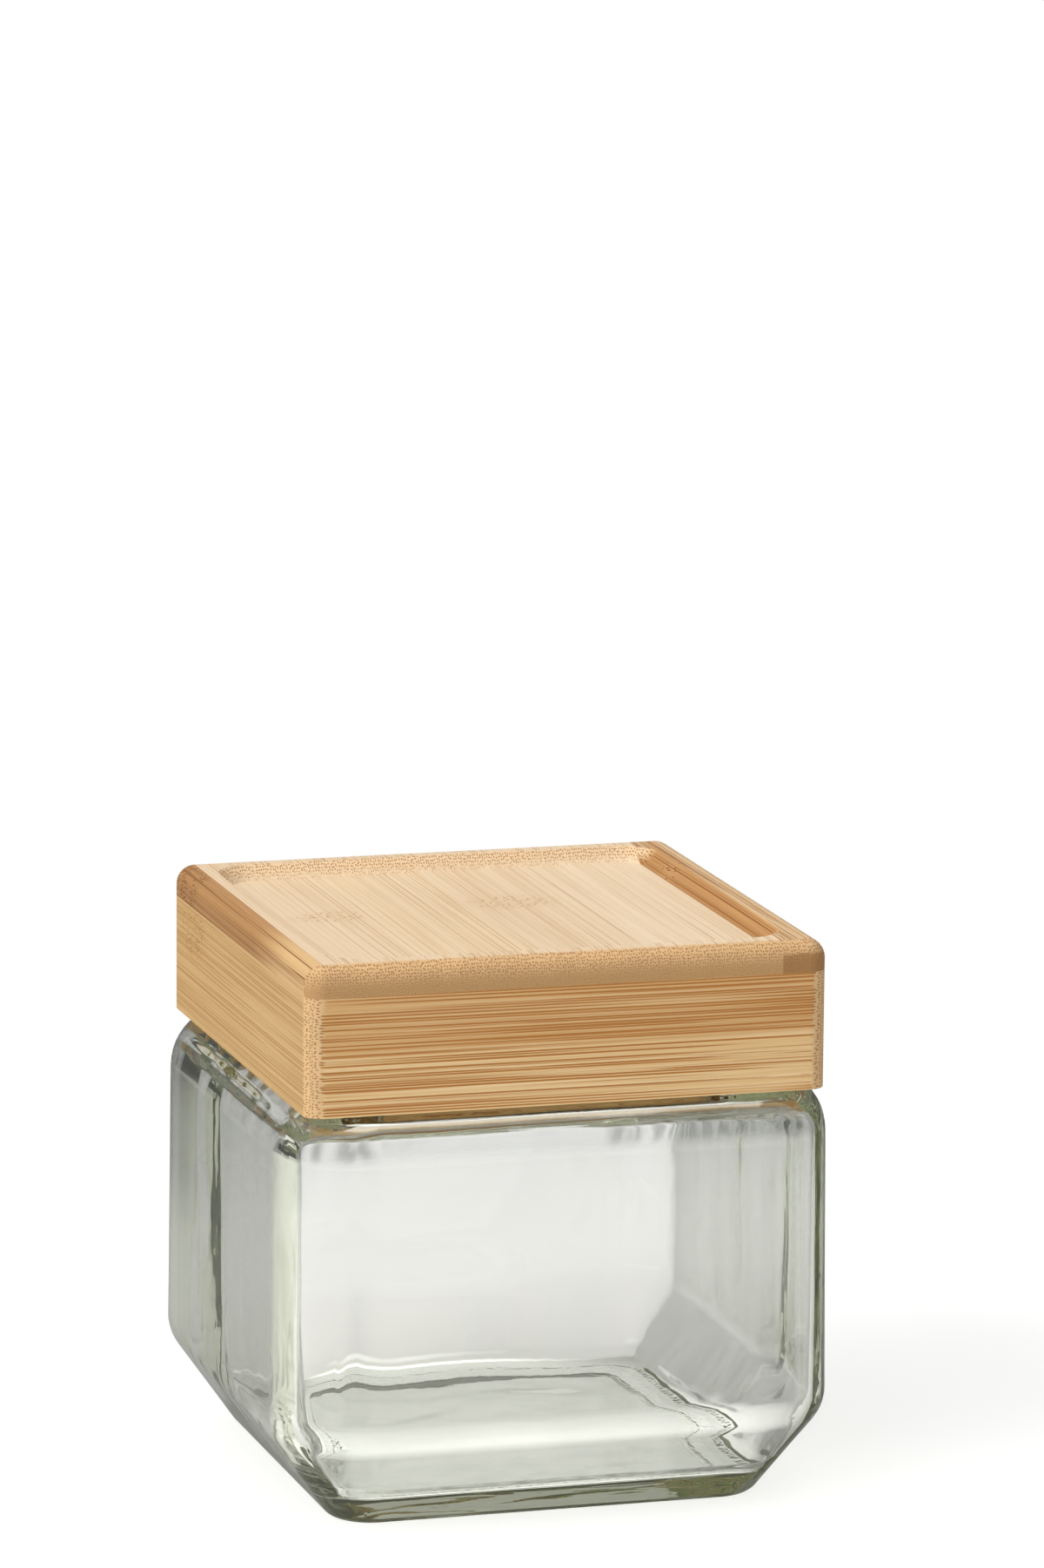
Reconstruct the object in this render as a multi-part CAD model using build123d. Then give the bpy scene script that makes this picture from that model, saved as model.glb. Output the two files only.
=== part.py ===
from build123d import *
from math import atan, atan2, degrees, hypot
import os

# Square glass storage jar with a lift-off bamboo lid that has a recess for stacking.
# Sizes are in millimetres. The origin is the centre of the jar's foot, +Z is up, the front is -Y.

# Glass body, outside
BODY_WIDTH = 118.1        # across the flats at the widest place, where the walls meet the slanted flanks
BODY_CORNER_R = 18.1      # upright corners at that place, seen from above
WALL_DRAFT = 0.5          # each wall leans in by this much up to the shoulder
SEAT_HEIGHT = 88.0        # table to the flat seat that the lid stands on
SHOULDER_R = 12.5
SHOULDER_CROWN = 1.7      # the shoulder's curve would top out this far above the seat
FOOT_SETBACK = 13.85      # the base's sharp edge lies this far inside the widest place
FOOT_CORNER_R = 8.8
FOOT_HEIGHT = 19.7        # table to the widest place
FOOT_BLEND_R = 10.7       # rounding between flank and wall
BASE_EDGE_R = 3.4         # rounding where the jar meets the table
PUSH_UP_DEPTH = 1.2       # hollow under the base, so that only a ring touches the table
PUSH_UP_LEAN = 60.0       # degrees that the hollow's edge leans in
PUSH_UP_CORNER_R = 6.0
BEARING_WIDTH = 7.0       # ring that carries the jar, from the base's sharp edge inwards

# Glass body, neck
NECK_CLEARANCE = 2.0      # between the neck and the lid's rails
NECK_CORNER_R = 13.0
NECK_RISE = 18.0          # above the seat
NECK_THICKNESS = 4.0
RIM_CHAMFER = 1.2         # eases both edges of the rim

# Glass body, inside
WALL_THICKNESS = 4.6
FLOOR_THICKNESS = 7.0
INNER_CORNER_R = 13.0
INNER_FLOOR_R = 4.0       # rounding between the inside floor and its slanted flank
INNER_SHOULDER = 5.5      # slope under the shoulder, where the walls turn in
THROAT_CHAMFER = 2.0      # slope where the shoulder turns up into the neck

# Lid, outside
LID_SETBACK = 4.05        # the lid's sides lie this far inside the widest place of the glass
LID_HEIGHT = 30.9
TOP_THICKNESS = 6.4       # the board on top; the rails below make up the rest of the height
LID_EDGE_R = 4.0          # upright corners and the edge round the top
STAVE_WIDTH = 24.0        # strips that the board is glued up from
FIRST_STAVE_WIDTH = 4.0   # the sliver left at the left-hand side when the board was sawn to size
RAIL_THICKNESS = 8.0

# Lid, recess that takes the foot of the next jar
RECESS_DEPTH = 3.0
RECESS_RUN = 3.0          # how far the recess wall leans outwards over its depth
RECESS_CORNER_R = 8.5
NEST_CLEARANCE = 0.3      # between the foot's sharp edge and the edge of the recess floor

# Lid, plug and seal under the board
PLUG_THICKNESS = 14.0
PLUG_CLEARANCE = 2.0      # between the plug and the inside of the neck
PLUG_CHAMFER = 1.2
GROOVE_HEIGHT = 4.0
GROOVE_DEPTH = 2.5
GROOVE_ABOVE_PLUG_FOOT = 1.8
SEAL_CLEARANCE = 0.3      # between the relaxed lips and the glass
SEAL_LIP_HEIGHT = 1.1
SEAL_LIP_PITCH = 2.0
SEAL_LIP_ABOVE_GROOVE = 0.4
SEAL_LIPS = 2

# One overrun for every cutter, so that no cut ends flush with a face
OVERRUN = 5.0

foot_width = BODY_WIDTH - 2 * FOOT_SETBACK
crown_height = SEAT_HEIGHT + SHOULDER_CROWN
rim_height = SEAT_HEIGHT + NECK_RISE
lid_width = BODY_WIDTH - 2 * LID_SETBACK
lid_top = SEAT_HEIGHT + LID_HEIGHT
board_height = lid_top - TOP_THICKNESS
neck_width = lid_width - 2 * (RAIL_THICKNESS + NECK_CLEARANCE)
mouth_width = neck_width - 2 * NECK_THICKNESS
mouth_corner_r = NECK_CORNER_R - NECK_THICKNESS
plug_width = mouth_width - 2 * PLUG_CLEARANCE
plug_corner_r = mouth_corner_r - PLUG_CLEARANCE
plug_foot_height = board_height - PLUG_THICKNESS
groove_base_height = plug_foot_height + GROOVE_ABOVE_PLUG_FOOT
groove_width = plug_width - 2 * GROOVE_DEPTH
groove_corner_r = plug_corner_r - GROOVE_DEPTH


def square_face(width, corner_r, height):
    """A square with rounded corners, lying level at a height."""
    return Pos(0, 0, height) * RectangleRounded(width, width, corner_r)


def square_block(width, corner_r, bottom, top):
    """An upright block on a square with rounded corners."""
    return extrude(square_face(width, corner_r, bottom), top - bottom)


def edges_at(solid, height):
    """The edges that lie level at a height."""
    tolerance = 1e-4 * BODY_WIDTH
    return solid.edges().filter_by_position(Axis.Z, height - tolerance, height + tolerance)


def level_face(solid, height):
    """The largest face that lies level at a height."""
    tolerance = 1e-4 * BODY_WIDTH
    faces = solid.faces().filter_by(Axis.Z)
    return faces.filter_by_position(Axis.Z, height - tolerance, height + tolerance).sort_by(SortBy.AREA)[-1]


def lean_angle(run, rise):
    """The angle from upright of a face that leans by a run over a rise."""
    return degrees(atan(run / rise))


def around(face):
    """A face's edges in order round the Z axis."""
    return sorted(face.edges(), key=lambda edge: atan2((edge @ 0.5).Y, (edge @ 0.5).X))


def flared_block(low, high):
    """A block between two level rounded squares, with flat flanks and ruled corners."""
    sides = []
    for below, above in zip(around(low), around(high)):
        if below.geom_type == GeomType.LINE:
            sides.append(Face(Wire.make_polygon([below @ 0, below @ 1, above @ 1, above @ 0])))
        else:
            sides.append(Face.make_surface_from_curves(below, above))
    return Solid(Shell([low.face(), high.face()] + sides))


def jar_outside():
    """Slanted foot, walls that lean in slightly, rounded shoulder with a flat seat, and neck."""
    base = square_face(foot_width, FOOT_CORNER_R, 0)
    widest = square_face(BODY_WIDTH, BODY_CORNER_R, FOOT_HEIGHT)
    lean = lean_angle(WALL_DRAFT, crown_height - SHOULDER_R - FOOT_HEIGHT)
    body = flared_block(base, widest) + extrude(widest, crown_height - FOOT_HEIGHT, taper=lean)
    body = fillet(edges_at(body, crown_height), SHOULDER_R)
    body = fillet(edges_at(body, FOOT_HEIGHT), FOOT_BLEND_R)
    body = fillet(edges_at(body, 0), BASE_EDGE_R)
    body -= square_block(BODY_WIDTH, BODY_CORNER_R, SEAT_HEIGHT, rim_height)
    return body + square_block(neck_width, NECK_CORNER_R, crown_height - SHOULDER_R, rim_height)


def jar_inside():
    """The space inside the glass, from the floor up through the mouth."""
    slope = FOOT_SETBACK / FOOT_HEIGHT
    flank_offset = WALL_THICKNESS * hypot(FOOT_SETBACK, FOOT_HEIGHT) / FOOT_HEIGHT
    flank_top = FOOT_HEIGHT + (flank_offset - WALL_THICKNESS) / slope
    ceiling = crown_height - WALL_THICKNESS
    widest = square_face(BODY_WIDTH - 2 * WALL_THICKNESS, INNER_CORNER_R, flank_top)
    lean = lean_angle(FOOT_SETBACK, FOOT_HEIGHT)
    space = extrude(widest, FLOOR_THICKNESS - flank_top, taper=lean)
    space += extrude(widest, ceiling - flank_top)
    space = chamfer(edges_at(space, ceiling), INNER_SHOULDER)
    space = fillet(edges_at(space, FLOOR_THICKNESS), INNER_FLOOR_R)
    space += square_block(mouth_width, mouth_corner_r, ceiling - OVERRUN, rim_height + OVERRUN)
    return chamfer(level_face(space, ceiling).inner_wires()[0].edges(), THROAT_CHAMFER)


def push_up():
    """The shallow hollow under the base."""
    width = foot_width - 2 * BEARING_WIDTH
    hollow = extrude(square_face(width, PUSH_UP_CORNER_R, 0), PUSH_UP_DEPTH, taper=PUSH_UP_LEAN)
    return hollow + square_block(width, PUSH_UP_CORNER_R, -OVERRUN, 0)


def glass_jar():
    """Pressed glass body, one piece."""
    jar = jar_outside() - jar_inside() - push_up()
    return chamfer(edges_at(jar, rim_height), RIM_CHAMFER)


def lid_board():
    """The whole glued-up top board, rounded over and with the stacking recess routed in it."""
    board = square_block(lid_width, LID_EDGE_R, board_height, lid_top)
    board = fillet(edges_at(board, lid_top), LID_EDGE_R)
    floor_height = lid_top - RECESS_DEPTH
    floor_face = square_face(foot_width + 2 * NEST_CLEARANCE, RECESS_CORNER_R - RECESS_RUN, floor_height)
    lean = lean_angle(RECESS_RUN, RECESS_DEPTH)
    recess = extrude(floor_face, RECESS_DEPTH + OVERRUN, taper=-lean)
    return board - recess


def top_staves():
    """The board's strips, from left to right, with the grain running front to back."""
    board = lid_board()
    seams = [-lid_width / 2]
    seam = seams[0] + FIRST_STAVE_WIDTH
    while seam < lid_width / 2:
        seams.append(seam)
        seam += STAVE_WIDTH
    seams.append(lid_width / 2)
    for left, right in zip(seams, seams[1:]):
        strip = Pos((left + right) / 2, 0, (board_height + lid_top) / 2)
        strip *= Box(right - left, lid_width, TOP_THICKNESS)
        yield board & strip


def lid_rail(turn):
    """One mitred rail of the frame, made at the front and turned about the jar's axis."""
    outer = lid_width / 2
    inner = outer - RAIL_THICKNESS
    plan = Polygon((-outer, -outer), (outer, -outer), (inner, -inner), (-inner, -inner), align=None)
    rail = extrude(Pos(0, 0, SEAT_HEIGHT) * plan, board_height - SEAT_HEIGHT)
    rail &= square_block(lid_width, LID_EDGE_R, SEAT_HEIGHT, board_height)
    return Rot(0, 0, turn) * rail


def plug_board():
    """Block glued under the board that drops into the mouth, grooved for the seal."""
    plug = square_block(plug_width, plug_corner_r, plug_foot_height, board_height)
    plug = chamfer(edges_at(plug, plug_foot_height), PLUG_CHAMFER)
    groove_top = groove_base_height + GROOVE_HEIGHT
    groove = square_block(plug_width + OVERRUN, plug_corner_r, groove_base_height, groove_top)
    groove -= square_block(groove_width, groove_corner_r, groove_base_height, groove_top)
    return plug - groove


def seal_ring():
    """Silicone band that fills the plug's groove, with lips that lean out towards the glass."""
    groove_top = groove_base_height + GROOVE_HEIGHT
    ring = square_block(plug_width, plug_corner_r, groove_base_height, groove_top)
    reach = PLUG_CLEARANCE - SEAL_CLEARANCE
    lean = lean_angle(reach, SEAL_LIP_HEIGHT)
    for count in range(SEAL_LIPS):
        root_height = groove_base_height + SEAL_LIP_ABOVE_GROOVE + count * SEAL_LIP_PITCH
        ring += extrude(square_face(plug_width, plug_corner_r, root_height), SEAL_LIP_HEIGHT, taper=-lean)
    return ring - square_block(groove_width, groove_corner_r, groove_base_height, groove_top)


parts = {"glass_jar": glass_jar(), "plug_board": plug_board(), "seal_ring": seal_ring()}
for count, stave in enumerate(top_staves(), start=1):
    parts[f"top_stave_{count}"] = stave
for count, name in enumerate(["front_rail", "right_rail", "back_rail", "left_rail"]):
    parts[name] = lid_rail(count * 90)

os.makedirs("parts", exist_ok=True)
for name, solid in parts.items():
    solid.label = name
    export_step(solid, f"parts/{name}.step")
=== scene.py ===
from math import ceil, cos, pi, radians, sin, tan

import bmesh
import bpy
from mathutils import Matrix, Vector


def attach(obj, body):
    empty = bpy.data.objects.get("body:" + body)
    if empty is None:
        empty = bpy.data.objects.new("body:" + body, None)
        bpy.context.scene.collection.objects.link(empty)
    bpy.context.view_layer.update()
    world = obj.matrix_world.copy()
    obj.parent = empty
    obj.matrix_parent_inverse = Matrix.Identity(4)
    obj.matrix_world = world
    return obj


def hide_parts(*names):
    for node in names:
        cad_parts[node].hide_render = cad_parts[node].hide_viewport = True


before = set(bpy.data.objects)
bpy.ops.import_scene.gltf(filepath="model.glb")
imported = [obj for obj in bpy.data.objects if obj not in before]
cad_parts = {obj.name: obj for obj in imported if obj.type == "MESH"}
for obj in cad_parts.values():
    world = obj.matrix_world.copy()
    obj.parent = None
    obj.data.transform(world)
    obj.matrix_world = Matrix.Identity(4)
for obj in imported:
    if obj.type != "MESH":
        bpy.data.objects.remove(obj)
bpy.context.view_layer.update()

# Glass jar. Clear soda-lime glass, pressed in one piece: a slanted foot, flat walls with round
# corners, a shoulder ground level as the lid's seat, and a neck. The plunger leaves the inside
# slightly uneven, and the ring that the jar stands on is stippled.
MM = 0.001
SAME_PLACE = 0.001 * MM
FOOT_HALF, FOOT_CORNER, BASE_EDGE = 45.2, 8.8, 3.4
WIDEST_HALF, WIDEST_CORNER, WIDEST_HEIGHT, KNUCKLE_R = 59.02, 18.1, 19.7, 10.7
SHOULDER_HALF, SHOULDER_CROWN, SHOULDER_R = 58.44, 89.7, 12.5
SEAT_HEIGHT, SEAT_HALF, SEAT_CORNER, SEAT_EDGE = 87.92, 52.3, 11.5, 0.3
HOLLOW_HALF, HOLLOW_CORNER, HOLLOW_DEPTH, HOLLOW_RUN = 38.2, 6.0, 1.2, 2.1
NECK_HALF, NECK_CORNER, NECK_ROOT, RIM_HEIGHT, RIM_R = 45.0, 13.0, 1.0, 105.96, 1.9
MOUTH_HALF, THROAT_R = 41.0, 3.0
INNER_HALF, INNER_CORNER, INNER_CEILING, INNER_SHOULDER_R = 54.45, 10.2, 83.6, 6.4
INNER_KNUCKLE_HEIGHT, INNER_KNUCKLE_R = 21.15, 9.0
INNER_FLOOR_HALF, INNER_FLOOR, INNER_FLOOR_R = 44.5, 7.0, 1.4
LEAST_CORNER = 2.0
CORNER_STEPS = 14
ARC_STEP = radians(7.5)
WALL_STEP = 4.0


def rounded(corners):
    """Points along a profile of (half width, height, rounding) corners, its straights divided."""
    points = [Vector(corners[0][:2])]
    for before, corner, after in zip(corners, corners[1:], corners[2:]):
        tip = Vector(corner[:2])
        back = (Vector(before[:2]) - tip).normalized()
        on = (Vector(after[:2]) - tip).normalized()
        half_angle = back.angle(on) / 2
        reach = corner[2] / tan(half_angle)
        centre = tip + (back + on).normalized() * corner[2] / sin(half_angle)
        start, end = tip + back * reach, tip + on * reach
        straight = start - points[-1]
        parts = ceil(straight.length / WALL_STEP)
        for _ in range(1, parts):
            points.append(points[-1] + straight / parts)
        turn = pi - 2 * half_angle
        steps = max(1, ceil(turn / ARC_STEP))
        for step in range(steps + 1):
            share = step / steps
            from_start = (start - centre) * sin((1 - share) * turn) / sin(turn)
            points.append(centre + from_start + (end - centre) * sin(share * turn) / sin(turn))
    points.append(Vector(corners[-1][:2]))
    return points


def draw_outline(last, half, corner, height):
    """Extrudes the quarter outline to a new height and gives it its half width and corner there."""
    last_half, last_corner, last_height = last
    rise = (0, 0, (height - last_height) * MM)
    bpy.ops.mesh.extrude_region_move(TRANSFORM_OT_translate={"value": rise})
    mesh = bmesh.from_edit_mesh(bpy.context.object.data)
    ring = [vertex for vertex in mesh.verts if vertex.select]

    def select(test):
        for vertex in ring:
            vertex.select_set(test(vertex.co))
        mesh.select_flush(False)

    last_centre = (last_half - last_corner) * MM
    centre_shift = (half - corner) * MM - last_centre
    wall_shift = (half - last_half) * MM
    growth = corner / last_corner
    select(lambda place: place.x > SAME_PLACE and place.y > SAME_PLACE)
    bpy.ops.transform.resize(value=(growth, growth, 1),
                             center_override=(last_centre, last_centre, height * MM))
    bpy.ops.transform.translate(value=(centre_shift, centre_shift, 0))
    select(lambda place: place.x <= SAME_PLACE)
    bpy.ops.transform.translate(value=(0, wall_shift, 0))
    select(lambda place: place.y <= SAME_PLACE)
    bpy.ops.transform.translate(value=(wall_shift, 0, 0))
    for vertex in ring:
        vertex.select_set(True)
    mesh.select_flush(True)
    return half, corner, height


def flank_corner(height):
    """The outside's corner radius, which grows up the slanted flank and then stays."""
    growth = (WIDEST_CORNER - FOOT_CORNER) / WIDEST_HEIGHT
    soft = KNUCKLE_R / 2
    over = height - WIDEST_HEIGHT
    if over < -soft:
        return WIDEST_CORNER + growth * over
    if over > soft:
        return WIDEST_CORNER
    return WIDEST_CORNER - growth * (soft - over) ** 2 / (4 * soft)


outside = rounded([
    (HOLLOW_HALF, 0, 0), (FOOT_HALF, 0, BASE_EDGE), (WIDEST_HALF, WIDEST_HEIGHT, KNUCKLE_R),
    (SHOULDER_HALF, SHOULDER_CROWN, SHOULDER_R), (NECK_HALF, SHOULDER_CROWN, 0)])
neck_and_inside = rounded([
    (SEAT_HALF, SEAT_HEIGHT, 0), (NECK_HALF, SEAT_HEIGHT, NECK_ROOT),
    (NECK_HALF, RIM_HEIGHT, RIM_R), (MOUTH_HALF, RIM_HEIGHT, RIM_R),
    (MOUTH_HALF, INNER_CEILING, THROAT_R), (INNER_HALF, INNER_CEILING, INNER_SHOULDER_R),
    (INNER_HALF, INNER_KNUCKLE_HEIGHT, INNER_KNUCKLE_R),
    (INNER_FLOOR_HALF, INNER_FLOOR, INNER_FLOOR_R), (INNER_FLOOR_HALF / 2, INNER_FLOOR, 0)])
outlines = []
for half, height in outside[1:]:
    if height > SEAT_HEIGHT - SEAT_EDGE:
        break
    if half > FOOT_HALF and height < SHOULDER_CROWN - SHOULDER_R:
        corner = flank_corner(height)
    elif height < BASE_EDGE:
        corner = FOOT_CORNER - (FOOT_HALF - half)
    else:
        sharpening = (WIDEST_CORNER - SEAT_CORNER) / (SHOULDER_HALF - SEAT_HALF)
        corner = WIDEST_CORNER - (SHOULDER_HALF - half) * sharpening
    outlines.append((half, corner, height))
for half, height in neck_and_inside:
    above_throat = height > INNER_CEILING + THROAT_R / 2
    if above_throat and half > NECK_HALF + 2 * NECK_ROOT:
        corner = SEAT_CORNER
    elif above_throat or half < MOUTH_HALF + THROAT_R and height > SEAT_HEIGHT / 2:
        corner = NECK_CORNER - (NECK_HALF - half)
    else:
        corner = INNER_CORNER - (INNER_HALF - half)
    outlines.append((half, max(corner, LEAST_CORNER), height))

bpy.ops.object.select_all(action="DESELECT")
roof_half, roof_corner = HOLLOW_HALF - HOLLOW_RUN, HOLLOW_CORNER - HOLLOW_RUN
roof_middle = Vector((roof_half / 2, roof_half / 2, HOLLOW_DEPTH)) * MM
bpy.ops.mesh.primitive_plane_add(size=roof_half * MM, location=roof_middle)
jar = bpy.context.object
jar.name = "pressed_glass_jar"
bpy.ops.object.mode_set(mode="EDIT")
bpy.ops.mesh.select_mode(type="VERT")
mesh = bmesh.from_edit_mesh(jar.data)
for vertex in mesh.verts:
    vertex.select_set(vertex.co.x > 0 and vertex.co.y > 0)
mesh.select_flush(False)
bpy.ops.mesh.bevel(offset=roof_corner * MM, segments=CORNER_STEPS, affect="VERTICES")
bpy.ops.object.mode_set(mode="OBJECT")
bpy.ops.object.transform_apply(location=True, rotation=False, scale=False)
bpy.ops.object.mode_set(mode="EDIT")
mesh = bmesh.from_edit_mesh(jar.data)
for edge in mesh.edges:
    middle = (edge.verts[0].co + edge.verts[1].co) / 2
    edge.select_set(middle.x > SAME_PLACE and middle.y > SAME_PLACE)
mesh.select_flush_mode()
bpy.ops.mesh.select_mode(type="EDGE")
outline = roof_half, roof_corner, HOLLOW_DEPTH
for half, corner, height in [(HOLLOW_HALF, HOLLOW_CORNER, 0.0), *outlines]:
    outline = draw_outline(outline, half, corner, height)
bpy.ops.mesh.extrude_region_move()
bpy.ops.transform.resize(value=(0, 0, 1), center_override=(0, 0, INNER_FLOOR * MM))
bpy.ops.mesh.select_all(action="SELECT")
bpy.ops.mesh.remove_doubles(threshold=SAME_PLACE)
bpy.ops.object.mode_set(mode="OBJECT")

mirror = jar.modifiers.new("other quarters", "MIRROR")
mirror.use_axis = (True, True, False)
mirror.merge_threshold = SAME_PLACE
bpy.ops.object.modifier_apply(modifier=mirror.name)
bpy.ops.object.mode_set(mode="EDIT")
bpy.ops.mesh.select_all(action="SELECT")
bpy.ops.mesh.remove_doubles(threshold=SAME_PLACE)
bpy.ops.mesh.normals_make_consistent(inside=False)
cuts = int((WIDEST_HALF - WIDEST_CORNER) / WALL_STEP)
for count in range(-cuts, cuts + 1):
    for axis in (Vector((1, 0, 0)), Vector((0, 1, 0))):
        bpy.ops.mesh.select_all(action="SELECT")
        bpy.ops.mesh.bisect(plane_co=axis * count * WALL_STEP * MM, plane_no=axis,
                            threshold=SAME_PLACE)
bpy.ops.mesh.select_all(action="SELECT")
bpy.ops.mesh.remove_doubles(threshold=SAME_PLACE)
bpy.ops.object.mode_set(mode="OBJECT")
bpy.ops.object.shade_smooth()

RIPPLE_HEIGHT, RIPPLE_LENGTH = 0.4, 30.0
FLANK_SLOPE, FLANK_WALL = 0.7, 2.1
SIDE_SLACK, FLOOR_SLACK = 0.5, 0.1
inside = jar.vertex_groups.new(name="inside")
for vertex in jar.data.vertices:
    place = vertex.co / MM
    reach = max(abs(place.x), abs(place.y))
    in_walls = reach < min(INNER_HALF + SIDE_SLACK,
                           FOOT_HALF + place.z * FLANK_SLOPE - FLANK_WALL)
    if in_walls and INNER_FLOOR - FLOOR_SLACK < place.z < INNER_CEILING:
        inside.add([vertex.index], 1.0, "REPLACE")
ripple = bpy.data.textures.new("plunger ripple", "CLOUDS")
ripple.noise_scale = RIPPLE_LENGTH * MM
ripple.noise_depth = 1
wave = jar.modifiers.new("plunger ripple", "DISPLACE")
wave.texture = ripple
wave.texture_coords = "LOCAL"
wave.vertex_group = inside.name
wave.strength = RIPPLE_HEIGHT * MM
wave.mid_level = 0.5
bpy.ops.object.modifier_apply(modifier=wave.name)


class Shade:
    """A value in a material. Sums with other values add Math nodes, and node adds any other."""

    def __init__(self, tree, socket=None):
        self.tree, self.socket = tree, socket

    def node(self, kind, settings, inputs, output=0):
        """Adds a node, sets its settings and then its sockets, and gives one of its outputs."""
        made = self.tree.nodes.new(kind)
        for name, value in settings.items():
            setattr(made, name, value)
        for name, value in inputs.items():
            if isinstance(value, Shade):
                self.tree.links.new(value.socket, made.inputs[name])
            elif isinstance(value, tuple) and made.inputs[name].type == "RGBA":
                made.inputs[name].default_value = (*value, 1)
            else:
                made.inputs[name].default_value = value
        return Shade(self.tree, made.outputs[output])

    def maths(self, operation, *values):
        return self.node("ShaderNodeMath", {"operation": operation}, dict(enumerate(values)))

    def __add__(self, other):
        return self.maths("ADD", self, other)

    def __sub__(self, other):
        return self.maths("SUBTRACT", self, other)

    def __rsub__(self, other):
        return self.maths("SUBTRACT", other, self)

    def __mul__(self, other):
        return self.maths("MULTIPLY", self, other)

    def __truediv__(self, other):
        return self.maths("DIVIDE", self, other)

    def __pow__(self, other):
        return self.maths("POWER", self, other)

    def __abs__(self):
        return self.maths("ABSOLUTE", self)

    __radd__, __rmul__ = __add__, __mul__

    def between(self, low, high):
        """A mask that rises softly from 0 at low to 1 at high, or falls where low is above high."""
        ends = {"From Min": low, "From Max": high}
        if low > high:
            ends = {"From Min": high, "From Max": low, "To Min": 1.0, "To Max": 0.0}
        return self.node("ShaderNodeMapRange", {"interpolation_type": "SMOOTHSTEP"},
                         {"Value": self, **ends})

    def tint(self, pale, dark):
        """A colour that goes from pale to dark with this mask."""
        return self.node("ShaderNodeMix", {"data_type": "RGBA"}, {0: self, 6: pale, 7: dark}, 2)

    def vector(self, x, y, z):
        return self.node("ShaderNodeCombineXYZ", {}, {0: x, 1: y, 2: z})

    def noise(self, x, y, z, detail, dimensions="3D", output=0, **others):
        """Cloudy noise with features about 1 mm wide, or wider along a coordinate scaled down."""
        sockets = {"Vector": self.vector(x, y, z), "Scale": 1.0, "Detail": detail, **others}
        return self.node("ShaderNodeTexNoise", {"noise_dimensions": dimensions}, sockets, output)

    def ray(self, kind):
        """1 for rays of one kind: Camera, Glossy, Transmission, Diffuse or Shadow."""
        return self.node("ShaderNodeLightPath", {}, {}, f"Is {kind} Ray")

    def feed(self, shader, name):
        """Links this value to a shader's socket."""
        self.tree.links.new(self.socket, shader.inputs[name])

    def bump(self, shader, distance, strength):
        """Raises the shader's surface by this value times the distance."""
        sockets = {"Height": self, "Distance": distance, "Strength": strength}
        self.node("ShaderNodeBump", {}, sockets).feed(shader, "Normal")


def new_material(name):
    """A material, its Principled shader, its tree's Shade and the place on the surface in mm."""
    material = bpy.data.materials.new(name)
    material.use_nodes = True
    shader = material.node_tree.nodes["Principled BSDF"]
    shade = Shade(material.node_tree)
    metres = shade.node("ShaderNodeTexCoord", {}, {}, "Object")
    place = shade.node("ShaderNodeVectorMath", {"operation": "SCALE"}, {0: metres, "Scale": 1 / MM})
    split = [shade.node("ShaderNodeSeparateXYZ", {}, {0: place}, axis) for axis in range(3)]
    return material, shader, shade, split


GLASS_INDEX, GLASS_TINT, GLASS_DENSITY = 1.52, (0.893, 0.912, 0.81), 19.0
HEAD_ON_TINT, EDGE_ON_PAINTED_SHADE, EDGE_FROM, EDGE_TO = (0.98, 0.983, 0.975), (0.26, 0.27, 0.24), 0.30, 0.85
STIPPLE_HEIGHT, STIPPLE_PITCH, PULL_HEIGHT = 0.3, 0.9, 0.03
CORNER_WAVE, SIDE_WAVE, FLOOR_WAVE = 0.15, 2.35, 0.6
FOOT_RING, INNER_SKIN, INNER_FROM, INNER_TO = (0.6, 0.2), (-1.4, -2.4), (3.0, 5.0), (86.0, 84.0)
FLOOR_TOP, CORNER_TO_SIDE = (9.5, 8.0), (6.0, 40.0)
LAMP_LOSS, BOUNCE_LOSS = (0.97, 0.98, 0.965), (0.86, 0.87, 0.85)
glass, shader, shade, (x, y, z) = new_material("pressed clear glass")
output = glass.node_tree.nodes["Material Output"]
shader.inputs["Roughness"].default_value = 0.0
shader.inputs["IOR"].default_value = GLASS_INDEX
shader.inputs["Transmission Weight"].default_value = 1.0
depth = {"Color": GLASS_TINT, "Density": GLASS_DENSITY}
shade.node("ShaderNodeVolumeAbsorption", {}, depth).feed(output, "Volume")

# The ring under the foot is stippled, the outside has faint draw marks, and the inside has long
# waves: steep ones along the walls, weaker ones round the corners, and broad ones on the floor.
stipple = shade.node("ShaderNodeTexVoronoi", {},
                     {"Vector": shade.vector(x, y, z), "Scale": STIPPLE_PITCH}, "Distance")
pull = shade.noise(x * 0.5, y * 0.5, z * 0.14, 2.0, Scale=0.35)
wall_wave = shade.noise(x * 0.05, y * 0.05, z * 0.012, 1.0)
floor_wave = shade.noise(x * 0.03, y * 0.035, z * 0.05, 1.0, Distortion=1.0)
reach = shade.maths("MAXIMUM", abs(x), abs(y))
outer_reach = shade.maths("MINIMUM", FOOT_HALF + FLANK_SLOPE * z, WIDEST_HALF)
inner_face = ((reach - outer_reach).between(*INNER_SKIN)
              * z.between(*INNER_FROM) * z.between(*INNER_TO))
on_floor = z.between(*FLOOR_TOP)
off_corner = (abs(x) - abs(y)).between(*CORNER_TO_SIDE)
wall_height = wall_wave * (1 - on_floor) * (CORNER_WAVE + SIDE_WAVE * off_corner)
height = (stipple * z.between(*FOOT_RING) * STIPPLE_HEIGHT + pull * PULL_HEIGHT
          + inner_face * (wall_height + floor_wave * on_floor * FLOOR_WAVE))
height.bump(shader, MM, 1.0)
# The base colour darkens from clear head-on to dark grey edge-on: painted shade that greys the
# walls seen at a slant.
edge_on_shade = shade.node("ShaderNodeLayerWeight", {}, {"Blend": 0.5}, "Facing")
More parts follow.
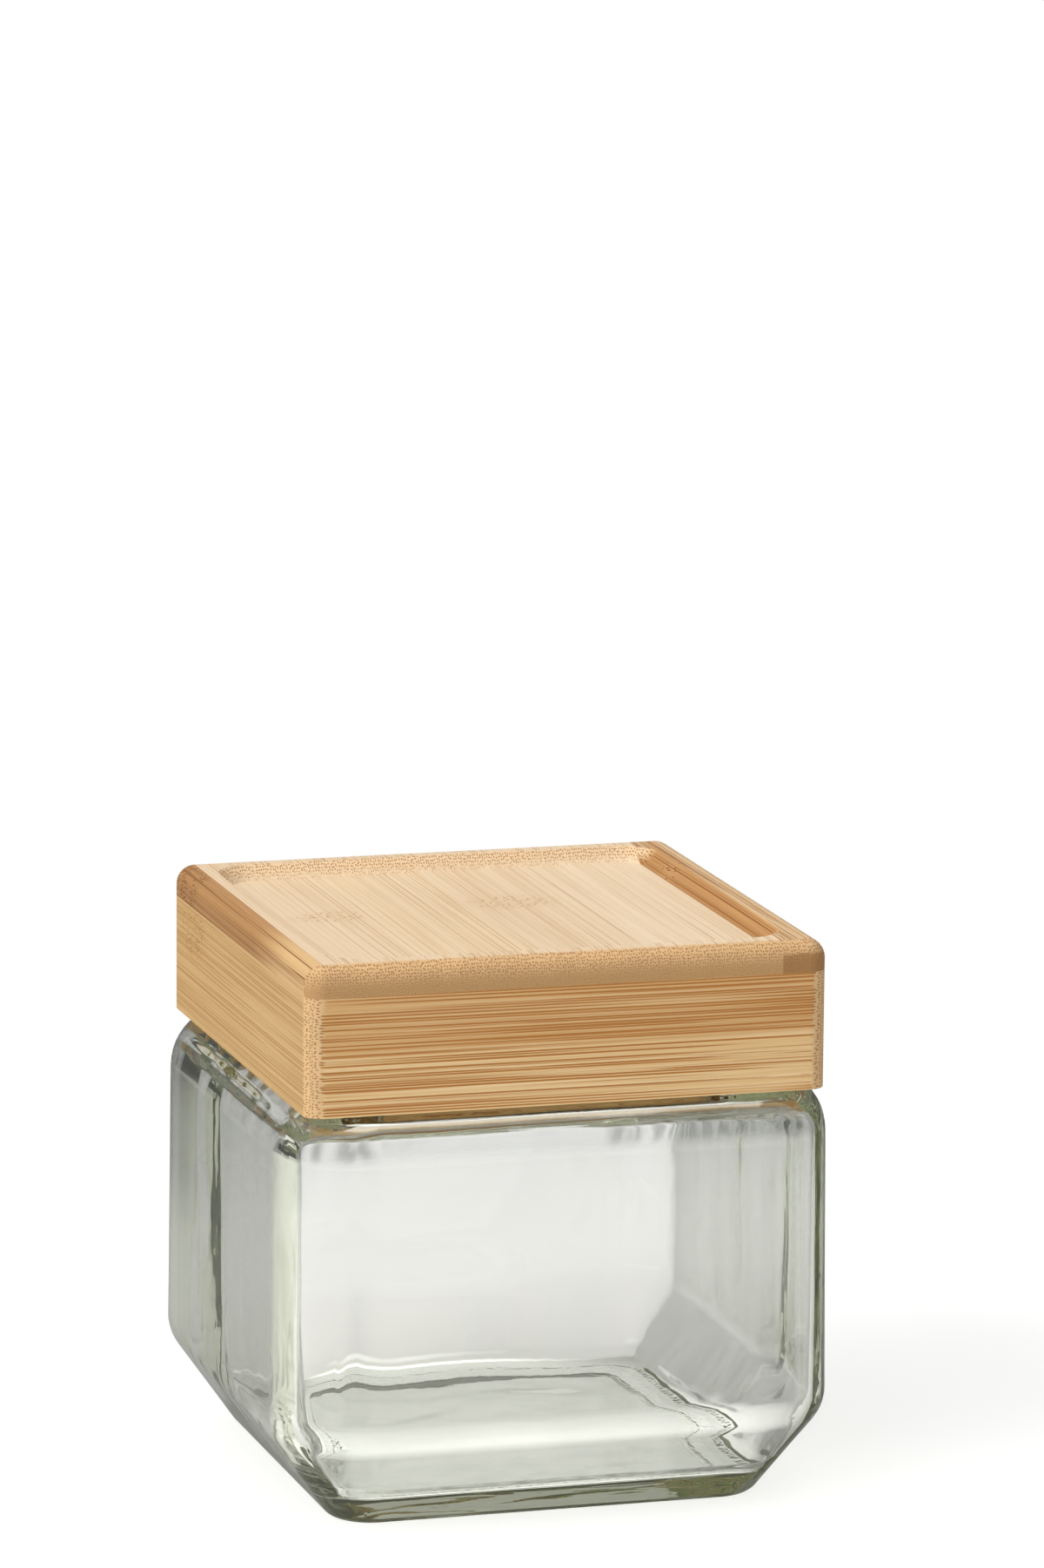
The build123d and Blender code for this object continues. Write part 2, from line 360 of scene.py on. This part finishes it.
edge_on_shade.between(EDGE_FROM, EDGE_TO).tint(HEAD_ON_TINT, EDGE_ON_PAINTED_SHADE).feed(shader, "Base Color")

# Lamps and scattered light pass straight through with a slight loss, so that the jar's shadow is
# soft and the wood under the lid is lit.
surface = Shade(shade.tree, shader.outputs[0])
for ray, loss in (("Diffuse", BOUNCE_LOSS), ("Shadow", LAMP_LOSS)):
    clear = shade.node("ShaderNodeBsdfTransparent", {}, {"Color": loss})
    surface = shade.node("ShaderNodeMixShader", {}, {0: shade.ray(ray), 1: surface, 2: clear})
surface.feed(output, "Surface")
jar.data.materials.append(glass)
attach(jar, "jar")
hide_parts("glass_jar")

# Seal. A moulded band of translucent white silicone, stretched into the plug's groove, whose two
# lips lean out and close on the inside of the neck. It is dusty-matt with fine moulding grain.
SILICONE_WHITE, SILICONE_DEPTH = (0.80, 0.81, 0.79, 1), 2.0
silicone, shader, shade, (x, y, z) = new_material("white silicone")
shader.inputs["Base Color"].default_value = SILICONE_WHITE
shader.inputs["Subsurface Weight"].default_value = 0.3
shader.inputs["Subsurface Scale"].default_value = SILICONE_DEPTH * MM
grain = shade.noise(x, y, z, 4.0, Scale=2.5)
(0.42 + 0.2 * grain).feed(shader, "Roughness")
grain.bump(shader, 0.03 * MM, 0.5)


def dress(node, material):
    """Gives a CAD node one material."""
    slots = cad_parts[node].data.materials
    slots.clear()
    slots.append(material)


dress("seal_ring", silicone)

# Plug. A block of edge-glued bamboo under the lid's board that drops into the neck. The grain is
# that of the whole lid: fibre bundles run along each strip, so they show as streaks on its sides
# and as brown dots on its ends.
BUNDLE_PITCH, BUNDLE_RADIUS, BUNDLE_FLATNESS, BUNDLE_STRAY = 0.52, 0.23, 1.12, 0.55
FINE_PITCH, FINE_RADIUS, FINE_STRENGTH = 0.66 * BUNDLE_PITCH, 0.24, 0.6
BUNDLE_EDGE, BUNDLE_CORE, BUNDLE_GLOW = 0.12, 0.05, 0.40
CORE_STRENGTH, GLOW_STRENGTH, THREAD_STRENGTH, KNOT_STRENGTH = 0.95, 0.22, 0.5, 1.6
STREAK_GAPS, THREADS, SAWN_FROM = (0.30, 0.48), (0.56, 0.70), (0.06, 0.32)
DRIFT, SEED_ACROSS, SEED_DEEP = 1.2, 7.3, 3.1
RECESS_WALL, RECESS_TOP = (50.0, 49.0), (117.8, 116.0)
END_SHADE, FINE_END_SHADE = (0.86, 0.86, 0.86), (0.76, 0.70, 0.60)


def bamboo(name, along, pale, dark, fibre, seed, end, end_fibre, streaks=1.0, fine_below=None,
           layers=(), end_layers=(), knots=()):
    """Solid bamboo with its fibres along one axis. end and end_fibre colour the sawn ends, layers
    are (axis, low, high, colour, share) bands, and knots are (x, y, z, reach along, reach across)
    in mm. Between the two heights of fine_below the bundles get finer downwards."""
    material, shader, shade, place = new_material(name)
    x, y, z = place
    length, width = (x, y) if along == "X" else (y, x)
    facing = shade.node("ShaderNodeTexCoord", {}, {}, "Normal")
    facing = shade.node("ShaderNodeSeparateXYZ", {}, {0: facing}, "XY".index(along))
    sawn = abs(facing).between(*SAWN_FROM)
    if fine_below:
        sawn = sawn * (1 - abs(y).between(*RECESS_WALL) * z.between(*RECESS_TOP))
    drift = shade.noise(length * 0.008, width * 0.05, z * 0.05, 1.0, "4D", "Color", W=seed)
    drift_across = shade.node("ShaderNodeSeparateColor", {}, {0: drift}, 0)
    drift_deep = shade.node("ShaderNodeSeparateColor", {}, {0: drift}, 1)
    across = width + DRIFT * drift_across + seed * SEED_ACROSS
    deep = z + DRIFT * drift_deep + seed * SEED_DEEP

    def bundles(pitch, radius):
        """Fibre bundles: broken streaks along the strip and round dots on its sawn ends."""
        settings = {"voronoi_dimensions": "2D"}
        spot = shade.vector(across / pitch, deep / (BUNDLE_FLATNESS * pitch), 0.0)
        inputs = {"Vector": spot, "Scale": 1.0, "Randomness": BUNDLE_STRAY}
        cell = shade.node("ShaderNodeTexVoronoi", settings, inputs, "Distance")
        tone = shade.node("ShaderNodeTexVoronoi", settings, inputs, "Color")
        tone = shade.node("ShaderNodeSeparateColor", {}, {0: tone})
        run = shade.noise(length * 0.010, tone * 90.0, 0.0, 2.0, "2D")
        core = cell.between(radius + BUNDLE_EDGE, radius - BUNDLE_CORE)
        glow = cell.between(radius + BUNDLE_GLOW, radius)
        streak = core * CORE_STRENGTH + glow * GLOW_STRENGTH
        streak = run.between(*STREAK_GAPS) * tone.between(0.0, 0.7) * streak
        return streak * (1 - sawn) + (0.7 + 0.3 * tone) * core * sawn

    pores = bundles(BUNDLE_PITCH, BUNDLE_RADIUS)
    if fine_below:
        coarse = z.between(*fine_below)
        fine = bundles(FINE_PITCH, FINE_RADIUS) * FINE_STRENGTH
        pores = pores * coarse + fine * (1 - coarse)
    stripes = shade.noise(length * 0.007, across * 1.3, deep * 1.3, 3.0, "4D",
                          Roughness=0.7, W=seed + 5.0)
    flecks = shade.noise(length * 0.2, across * 7.0, deep * 7.0, 2.0)
    broad = shade.noise(length * 0.010, across * 0.22, deep * 0.22, 1.0, "4D", W=seed)
    threads = shade.noise(length * 0.012, across * 2.6, deep * 2.6, 1.0, "4D", W=seed)
    pores = pores + (1 - sawn) * threads.between(*THREADS) * THREAD_STRENGTH
    patches = broad.between(0.3, 0.7)
    tone = stripes.between(0.38, 0.66) * 0.55 + flecks.between(0.3, 0.8) * 0.2 + patches * 0.25
    colour = tone.tint(pale, dark)
    end_tone = flecks.between(0.25, 0.75) * 0.5 + patches * 0.5
    dark_end, fine_end = [tuple(part * whole for part, whole in zip(shares, end))
                          for shares in (END_SHADE, FINE_END_SHADE)]
    end_colour = end_tone.tint(end, dark_end)
    if fine_below:
        end_colour = ((1 - coarse) * 0.8).tint(end_colour, fine_end)

    def laid(colour, layers):
        """The colour with these bands over it: glued or grown layers, and also painted light on the
        back ends and painted shade down in the recess.
        """
        for axis, low, high, layer, share in layers:
            at = place["XYZ".index(axis)] + DRIFT * (broad - 0.5)
            colour = (at.between(low, high) * share * (0.7 + 0.6 * stripes)).tint(colour, layer)
        return colour

    colour = sawn.tint(laid(colour, layers), laid(end_colour, end_layers))
    fibre = sawn.tint(fibre, end_fibre)
    for knot_x, knot_y, knot_z, long_reach, cross_reach in knots:
        reach_x, reach_y = long_reach, cross_reach
        if along == "Y":
            reach_x, reach_y = cross_reach, long_reach
        far = (((x - knot_x) / reach_x) ** 2 + ((y - knot_y) / reach_y) ** 2
               + ((z - knot_z) / cross_reach) ** 2 + 1.8 * (flecks - 0.5))
        slant = 0.2 * length
        spot = shade.vector(length * 0.5 + 0.35 * z, width * 1.3 + slant, z * 1.5 + slant)
        dash = shade.node("ShaderNodeTexVoronoi", {}, {"Vector": spot, "Scale": 1.0}, "Distance")
        pores = pores + far.between(1.3, 0.3) * dash.between(0.42, 0.16) * KNOT_STRENGTH
        colour = (far.between(1.8, 0.1) * 0.35).tint(colour, dark)
    pores = shade.node("ShaderNodeClamp", {}, {0: pores * (streaks + (1 - streaks) * sawn)})
    pores.tint(colour, fibre).feed(shader, "Base Color")
    (0.44 + 0.16 * flecks + 0.1 * pores).feed(shader, "Roughness")
    shader.inputs["Specular IOR Level"].default_value = 0.3
    (flecks * 0.015 - pores * 0.05).bump(shader, MM, 0.7)
    return material


dress("plug_board", bamboo("plug bamboo", "X", (0.66, 0.42, 0.19), (0.50, 0.27, 0.095),
                           (0.33, 0.14, 0.04), 9.0, (0.72, 0.46, 0.23), (0.30, 0.13, 0.04)))

# Frame rails. Four bamboo strips 8 mm thick, mitred at the corners and glued up into a square
# that stands on the glass. The corners are rounded over, so the bundles' ends show beside each
# mitre. The left rail has a node of the culm near its back end.
RAIL_END, RAIL_END_FIBRE = (0.71, 0.465, 0.235), (0.33, 0.16, 0.05)
FRONT_LAYER = ("Z", 99.5, 101.5, (0.56, 0.29, 0.095), 0.5)
LEFT_KNOT = (-55, 37, 107.5, 10, 6)
rails = [  # node, grain, pale, dark and fibre colours, seed, streaks, layers, knots
    ("front_rail", "X", (0.83, 0.61, 0.335), (0.67, 0.41, 0.16), (0.43, 0.175, 0.038),
     1.0, 1.45, [FRONT_LAYER], []),
    ("left_rail", "Y", (0.61, 0.405, 0.185), (0.52, 0.315, 0.12), (0.38, 0.19, 0.055),
     2.0, 0.6, [], [LEFT_KNOT]),
    ("right_rail", "Y", (0.67, 0.42, 0.19), (0.50, 0.27, 0.085), (0.35, 0.14, 0.025),
     3.0, 1.0, [], []),
    ("back_rail", "X", (0.69, 0.44, 0.20), (0.51, 0.28, 0.09), (0.35, 0.14, 0.025),
     4.0, 0.9, [], []),
]
for node, along, pale, dark, fibre, seed, streaks, layers, knots in rails:
    name = node.replace("_", " ") + " bamboo"
    dress(node, bamboo(name, along, pale, dark, fibre, seed, RAIL_END, RAIL_END_FIBRE,
                       streaks=streaks, layers=layers, knots=knots))

# Top board. Six bamboo strips glued edge to edge with the grain front to back, rounded over and
# routed with a square recess for the foot of the next jar. Each strip has its own tone, and their
# sawn ends show the bundles as brown dots at the front and back.
CREAM, WHEAT, TAN = (0.765, 0.60, 0.42), (0.655, 0.475, 0.29), (0.45, 0.25, 0.105)
BOARD_END, BOARD_END_FIBRE = (0.64, 0.40, 0.19), (0.26, 0.11, 0.03)
# The sawn ends at the back are lighter: painted light on the recess's back wall.
BACK_END_PAINTED_LIGHT = ("Y", 40, 46, (0.84, 0.64, 0.42), 0.6)
SLIVER_FRONT = ("Y", -8, -40, (0.66, 0.43, 0.20), 0.9)
SLIVER_KNOT, LEFT_BOARD_KNOT = (-54, 44, 116.5, 9, 6), (-33, 6, 115.9, 5, 9)
MIDDLE_KNOT, RIGHT_KNOT = (7, 11, 115.9, 7, 10), (47, 27, 117, 5, 3)
CROWN_LAYER = ("Z", 118.85, 118.6, (0.47, 0.235, 0.075), 0.9)
# The right strip is darker still down in the recess: painted shade.
RECESS_PAINTED_SHADE = ("Z", 117.6, 116.4, (0.36, 0.17, 0.05), 0.6)
DARK_END = ("Z", 116.6, 116.2, (0.36, 0.18, 0.065), 0.85)
FINE_BELOW = (113.2, 117.0)
staves = [  # node, pale, dark and fibre colours, seed, streaks, layers, layers on the ends, knots
    ("top_stave_1", (0.44, 0.235, 0.09), (0.35, 0.17, 0.06), (0.22, 0.09, 0.025),
     11.0, 1.0, [SLIVER_FRONT], [], [SLIVER_KNOT]),
    ("top_stave_2", CREAM, WHEAT, TAN, 12.0, 0.6, [], [], [LEFT_BOARD_KNOT]),
    ("top_stave_3", (0.765, 0.60, 0.41), (0.67, 0.485, 0.285), TAN, 13.0, 0.6, [], [], []),
    ("top_stave_4", CREAM, WHEAT, TAN, 14.0, 0.6, [], [], [MIDDLE_KNOT]),
    ("top_stave_5", (0.785, 0.63, 0.45), (0.69, 0.515, 0.33), TAN, 15.0, 0.6, [], [], []),
    ("top_stave_6", (0.74, 0.54, 0.32), (0.55, 0.33, 0.14), (0.25, 0.09, 0.02),
     16.0, 1.0, [CROWN_LAYER, RECESS_PAINTED_SHADE], [DARK_END], [RIGHT_KNOT]),
]
for node, pale, dark, fibre, seed, streaks, layers, end_layers, knots in staves:
    name = node.replace("_", " ") + " bamboo"
    dress(node, bamboo(name, "Y", pale, dark, fibre, seed, BOARD_END, BOARD_END_FIBRE,
                       streaks=streaks, fine_below=FINE_BELOW, layers=layers,
                       end_layers=[BACK_END_PAINTED_LIGHT, *end_layers], knots=knots))

# Studio. A pale table that fades into a white backdrop, one large soft lamp high on the left, a
# weaker one on the right, and the camera at the photograph's height and angle.
TABLE_FADE, TABLE_END = 170.0, 420.0
TABLE_WHITE, TABLE_SEEN, TABLE_MIRRORED = (0.97,) * 3, (0.70,) * 3, (0.36,) * 3
TABLE_IN_GLASS = (0.86, 0.86, 0.85)
JAR_REACH, JAR_INSIDE = 70.0, 50.0
CAMERA_GLOW, GLASS_GLOW, UNDER_JAR_PAINTED_LIGHT = 0.40, 0.03, 0.85
bpy.ops.mesh.primitive_circle_add(vertices=64, radius=TABLE_END * MM, fill_type="NGON",
                                  location=(0, 0, 0))
table = bpy.context.object
table.name = "table"
paper, shader, shade, (x, y, z) = new_material("pale table")
seen, mirrored, through = [shade.ray(kind) for kind in ("Camera", "Glossy", "Transmission")]
colour = seen.tint(TABLE_WHITE, TABLE_SEEN)
colour = (mirrored * (1 - through)).tint(colour, TABLE_MIRRORED)
through.tint(colour, TABLE_IN_GLASS).feed(shader, "Base Color")
shader.inputs["Roughness"].default_value = 0.9
shader.inputs["Specular IOR Level"].default_value = 0.1
shader.inputs["Emission Strength"].default_value = 1.0
# Seen through the glass the table glows, far more under the jar: a painted pool of light in place
# of the light that the glass lets in.
under_jar = (x * x + y * y).between(JAR_REACH ** 2, JAR_INSIDE ** 2)
glow = CAMERA_GLOW * seen * (1 - through) + through * (GLASS_GLOW + UNDER_JAR_PAINTED_LIGHT * under_jar)
glow.tint((0, 0, 0), (1, 1, 1)).feed(shader, "Emission Color")
faded = ((x * x + y * y) ** 0.5).between(TABLE_FADE, TABLE_END)
beyond = shade.node("ShaderNodeBsdfTransparent", {}, {})
sides = {0: faded, 1: Shade(shade.tree, shader.outputs[0]), 2: beyond}
output = paper.node_tree.nodes["Material Output"]
shade.node("ShaderNodeMixShader", {}, sides).feed(output, "Surface")
table.data.materials.append(paper)

# The camera sees pure white behind the jar, and the glass passes on a pale grey with soft upright
# bars, darker where the ray turned inside the glass. Gloss mirrors a ring of light overhead.
BACKDROP_GREY, BAR_DEPTH, BAR_COUNT, BAR_AZIMUTH = 0.68, 0.18, 44, 1.283
TURNED_LOSS, TURNED_TINT = 0.88, (0.95, 0.975, 0.88)
OVERHEAD, BAR_HEIGHT, TURNS = (0.30, 0.65), (0.34, 0.12), (0.0, 2.2)
MIRROR_LOW, MIRROR_OVERHEAD = 0.20, 0.8
RING_LIGHT, RING_INNER, RING_OUTER = 8, (0.995, 0.97), (0.89, 0.93)
ROOM_LOW, ROOM_OVERHEAD, ROOM_EAST = 0.52, 0.34, 0.14
MOST_BOUNCES = 72
world = bpy.data.worlds.new("studio")
bpy.context.scene.world = world
world.use_nodes = True
background = world.node_tree.nodes["Background"]
sky = Shade(world.node_tree)
seen, mirrored, through = [sky.ray(kind) for kind in ("Camera", "Glossy", "Transmission")]
direction = sky.node("ShaderNodeTexCoord", {}, {}, "Generated")
east, north, up = [sky.node("ShaderNodeSeparateXYZ", {}, {0: direction}, axis) for axis in range(3)]
overhead = up.between(*OVERHEAD)
turned_inside = sky.node("ShaderNodeLightPath", {}, {}, "Glossy Depth").between(*TURNS)
bars = sky.maths("COSINE", BAR_COUNT * (sky.maths("ARCTAN2", north, east) - BAR_AZIMUTH))
backdrop = ((BACKDROP_GREY + BAR_DEPTH * bars * abs(up).between(*BAR_HEIGHT))
            * (1 - TURNED_LOSS * turned_inside))
reflected = (MIRROR_LOW + MIRROR_OVERHEAD * overhead
             + RING_LIGHT * up.between(*RING_OUTER) * up.between(*RING_INNER))
room = ROOM_LOW + ROOM_OVERHEAD * overhead - ROOM_EAST * east
strength = seen + (1 - seen) * (
    through * backdrop + (1 - through) * (mirrored * reflected + (1 - mirrored) * room))
strength.feed(background, "Strength")
turned_inside.tint((1, 1, 1), TURNED_TINT).feed(background, "Color")
cycles = bpy.context.scene.cycles
cycles.max_bounces = cycles.transmission_bounces = cycles.glossy_bounces = MOST_BOUNCES
cycles.caustics_reflective = cycles.caustics_refractive = False

LAMP_SIZE, LAMP_TARGET = 0.9, Vector((0, 0, 0.06))
for name, power, place in (("key lamp", 15.0, Vector((-1.15, -0.45, 1.05))),
                           ("fill lamp", 1.5, Vector((1.2, -1.0, 0.8)))):
    lamp = bpy.data.lights.new(name, "AREA")
    lamp.size, lamp.energy = LAMP_SIZE, power
    stand = bpy.data.objects.new(name, lamp)
    bpy.context.scene.collection.objects.link(stand)
    stand.location = place
    stand.rotation_euler = (LAMP_TARGET - place).to_track_quat("-Z", "Y").to_euler()
    stand.visible_glossy = stand.visible_transmission = False

CAMERA_PLACE, LENS, FAR_END = Vector((-475.0, -1608.6, 470.2)) * MM, 189.5, 20.0
AZIMUTH, ELEVATION, ROLL = radians(-16.64), radians(11.02), radians(0.46)
camera = bpy.data.objects.new("camera", bpy.data.cameras.new("camera"))
bpy.context.scene.collection.objects.link(camera)
camera.location = CAMERA_PLACE
back = Vector((sin(AZIMUTH) * cos(ELEVATION), -cos(AZIMUTH) * cos(ELEVATION), sin(ELEVATION)))
turn = back.to_track_quat("Z", "Y").to_matrix()
camera.rotation_euler = (turn @ Matrix.Rotation(ROLL, 3, "Z")).to_euler()
camera.data.lens, camera.data.clip_end = LENS, FAR_END
bpy.context.scene.camera = camera
bpy.context.scene.view_settings.view_transform = "Standard"
